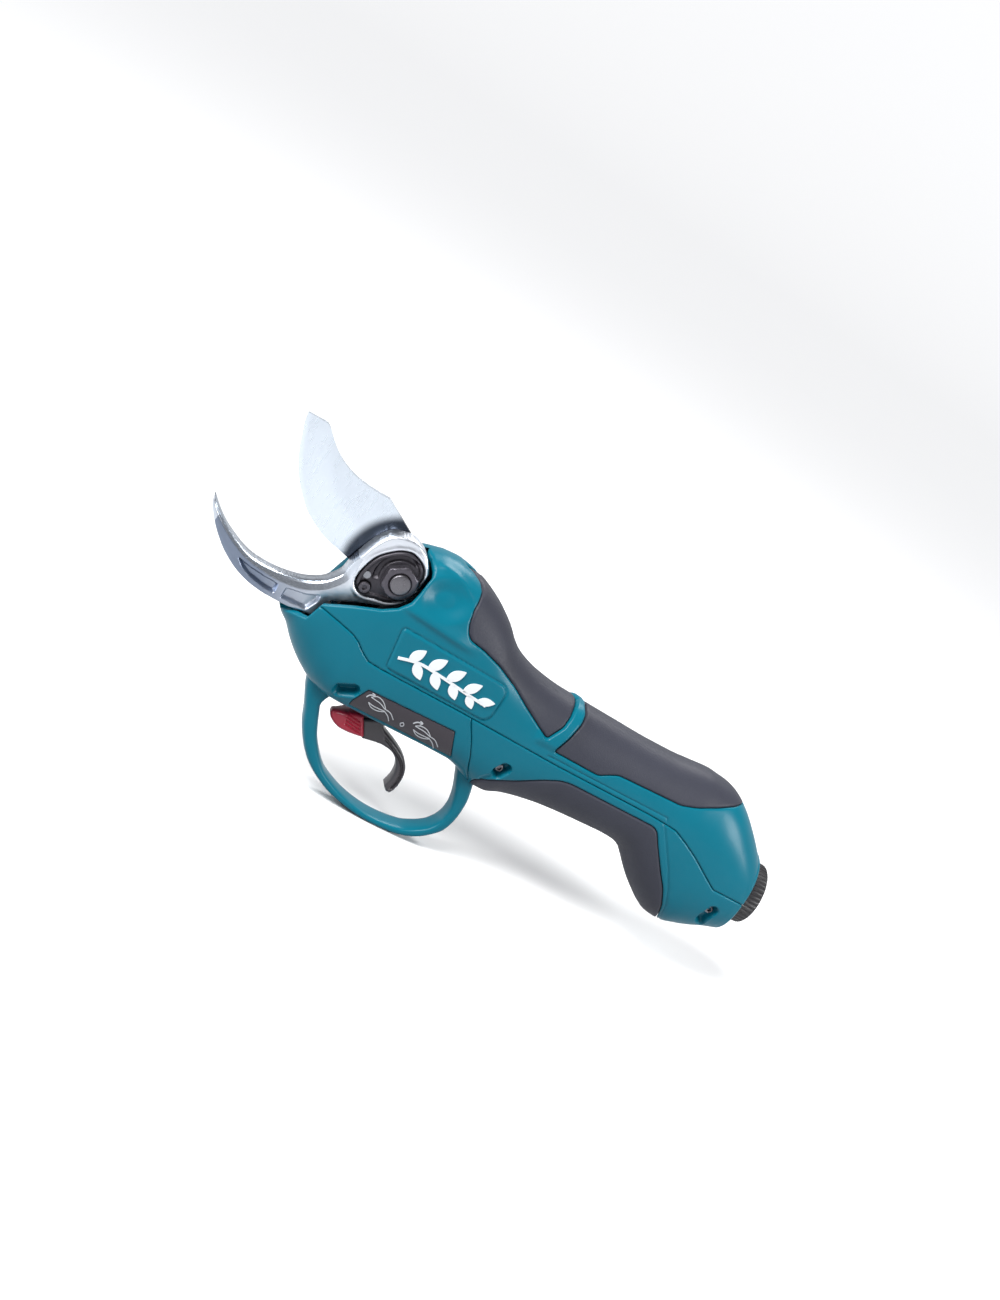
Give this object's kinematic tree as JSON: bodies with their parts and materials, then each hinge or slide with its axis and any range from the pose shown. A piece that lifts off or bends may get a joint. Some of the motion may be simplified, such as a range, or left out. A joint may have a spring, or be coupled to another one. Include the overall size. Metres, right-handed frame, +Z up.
{
  "type": "battery electric pruner",
  "caption": "Hand-held electric pruner: screw-driven blade closing on a hooked counter blade, finger guard with trigger, soft grips and a cord socket at the tail.",
  "frame": {"origin": "centre of the cord socket's mouth at the tail", "axes": "+X out of the socket, away from the blades; +Z up, with the finger guard below; -Y is the counter blade's side"},
  "size_m": [0.3052, 0.0428, 0.1475],
  "materials": {
    "teal_casing": "satin moulded plastic",
    "soft_grip": "soft matt overmould",
    "label_black": "satin printed plate",
    "dark_steel": "black oxide",
    "black_steel": "black oxide",
    "frame_alloy": "cast",
    "hook_steel": "forged, satin",
    "blade_steel": "ground and polished",
    "bright_steel": "ground",
    "bronze": "turned",
    "copper": "enamelled wire",
    "motor_can": "black plated",
    "red_plastic": "moulded",
    "black_plastic": "moulded",
    "board_green": "coated board",
    "rubber_black": "moulded"
  },
  "bodies": {
    "housing": {"upper_shell": "teal_casing", "guard_shell_left": "teal_casing", "guard_shell_right": "teal_casing", "lower_shell_left": "teal_casing", "lower_shell_right": "teal_casing", "front_top_grip": "soft_grip", "rear_top_grip": "soft_grip", "lower_grip_left": "soft_grip", "lower_grip_right": "soft_grip", "label_plate_left": "label_black", "label_plate_right": "label_black", "housing_screws": "dark_steel", "head_frame": "frame_alloy", "counter_blade": "hook_steel", "pivot_bolt": "dark_steel", "pivot_nut": "dark_steel", "nut_lock_plate": "black_steel", "lock_plate_screw": "dark_steel", "lock_dowel": "bright_steel", "heel_screw": "dark_steel", "guide_rod": "bright_steel", "screw_bearing_outer": "bright_steel", "screw_bearing_balls": "bright_steel", "ring_gear": "dark_steel", "gear_case": "frame_alloy", "gear_case_screws": "dark_steel", "motor_can": "motor_can", "stator_core": "dark_steel", "stator_windings": "copper", "motor_end_cap": "black_plastic", "motor_bearings": "bright_steel", "trigger_pin": "bright_steel", "trigger_spring": "bright_steel", "sensor_board": "board_green", "control_board": "board_green", "wiring": "rubber_black", "cord_socket": "black_plastic", "contact_pins": "bronze", "socket_seal": "rubber_black"},
    "blade": {"moving_blade": "blade_steel", "pivot_bush": "bronze"},
    "crosshead": {"crosshead": "black_steel", "ball_nut": "bright_steel", "drive_pin": "bright_steel"},
    "screw": {"ball_screw": "bright_steel", "screw_bearing_inner": "bright_steel", "planet_carrier": "bright_steel"},
    "planet_1": {"planet_gear_1": "bright_steel"},
    "planet_2": {"planet_gear_2": "bright_steel"},
    "planet_3": {"planet_gear_3": "bright_steel"},
    "rotor": {"rotor_shaft": "bright_steel", "rotor_magnets": "black_steel", "sun_gear": "bright_steel"},
    "trigger": {"trigger_lever": "black_plastic", "trigger_magnet": "bright_steel"},
    "lock": {"lock_slider": "red_plastic"},
    "ring": {"coupling_ring": "black_plastic"}
  },
  "joints": [
    {"name": "motor_spin", "type": "hinge", "parent": "housing", "child": "rotor", "pos_m": [-0.1307, 0, 0.0186], "axis": [1, 0, 0], "range_deg": [0, 5600]},
    {"name": "screw_spin", "type": "hinge", "parent": "housing", "child": "screw", "pos_m": [-0.2007, 0, 0.0186], "axis": [1, 0, 0], "range_deg": [0, 1400]},
    {"name": "planet_1_spin", "type": "hinge", "parent": "screw", "child": "planet_1", "pos_m": [-0.1607, 0.0084, 0.0186], "axis": [1, 0, 0], "range_deg": [-4200, 0]},
    {"name": "planet_2_spin", "type": "hinge", "parent": "screw", "child": "planet_2", "pos_m": [-0.1607, -0.0042, 0.02587], "axis": [1, 0, 0], "range_deg": [-4200, 0]},
    {"name": "planet_3_spin", "type": "hinge", "parent": "screw", "child": "planet_3", "pos_m": [-0.1607, -0.0042, 0.01132], "axis": [1, 0, 0], "range_deg": [-4200, 0]},
    {"name": "nut_slide", "type": "slide", "parent": "housing", "child": "crosshead", "axis": [1, 0, 0], "range_m": [0, 0.0195]},
    {"name": "blade_swing", "type": "hinge", "parent": "housing", "child": "blade", "pos_m": [-0.2207, 0, 0.0556], "axis": [0, -1, 0], "range_deg": [0, 44]},
    {"name": "trigger_pull", "type": "hinge", "parent": "housing", "child": "trigger", "pos_m": [-0.1897, 0, 0.0006], "axis": [0, -1, 0], "range_deg": [0, 12], "stiffness_Nm_per_rad": 0.15, "springref_deg": -11.46},
    {"name": "lock_slide", "type": "slide", "parent": "trigger", "child": "lock", "axis": [-1, 0, 0], "range_m": [0, 0.003]},
    {"name": "ring_turn", "type": "hinge", "parent": "housing", "child": "ring", "pos_m": [-0.004, 0, 0], "axis": [1, 0, 0], "range_deg": [0, 90]}
  ],
  "couplings": [
    {"joint": "motor_spin", "follows": "blade_swing", "ratio": 126.97},
    {"joint": "screw_spin", "follows": "blade_swing", "ratio": 31.743},
    {"joint": "planet_1_spin", "follows": "blade_swing", "ratio": -95.228},
    {"joint": "planet_2_spin", "follows": "blade_swing", "ratio": -95.228},
    {"joint": "planet_3_spin", "follows": "blade_swing", "ratio": -95.228},
    {"joint": "nut_slide", "follows": "blade_swing", "m_per_rad": 0.02526}
  ]
}
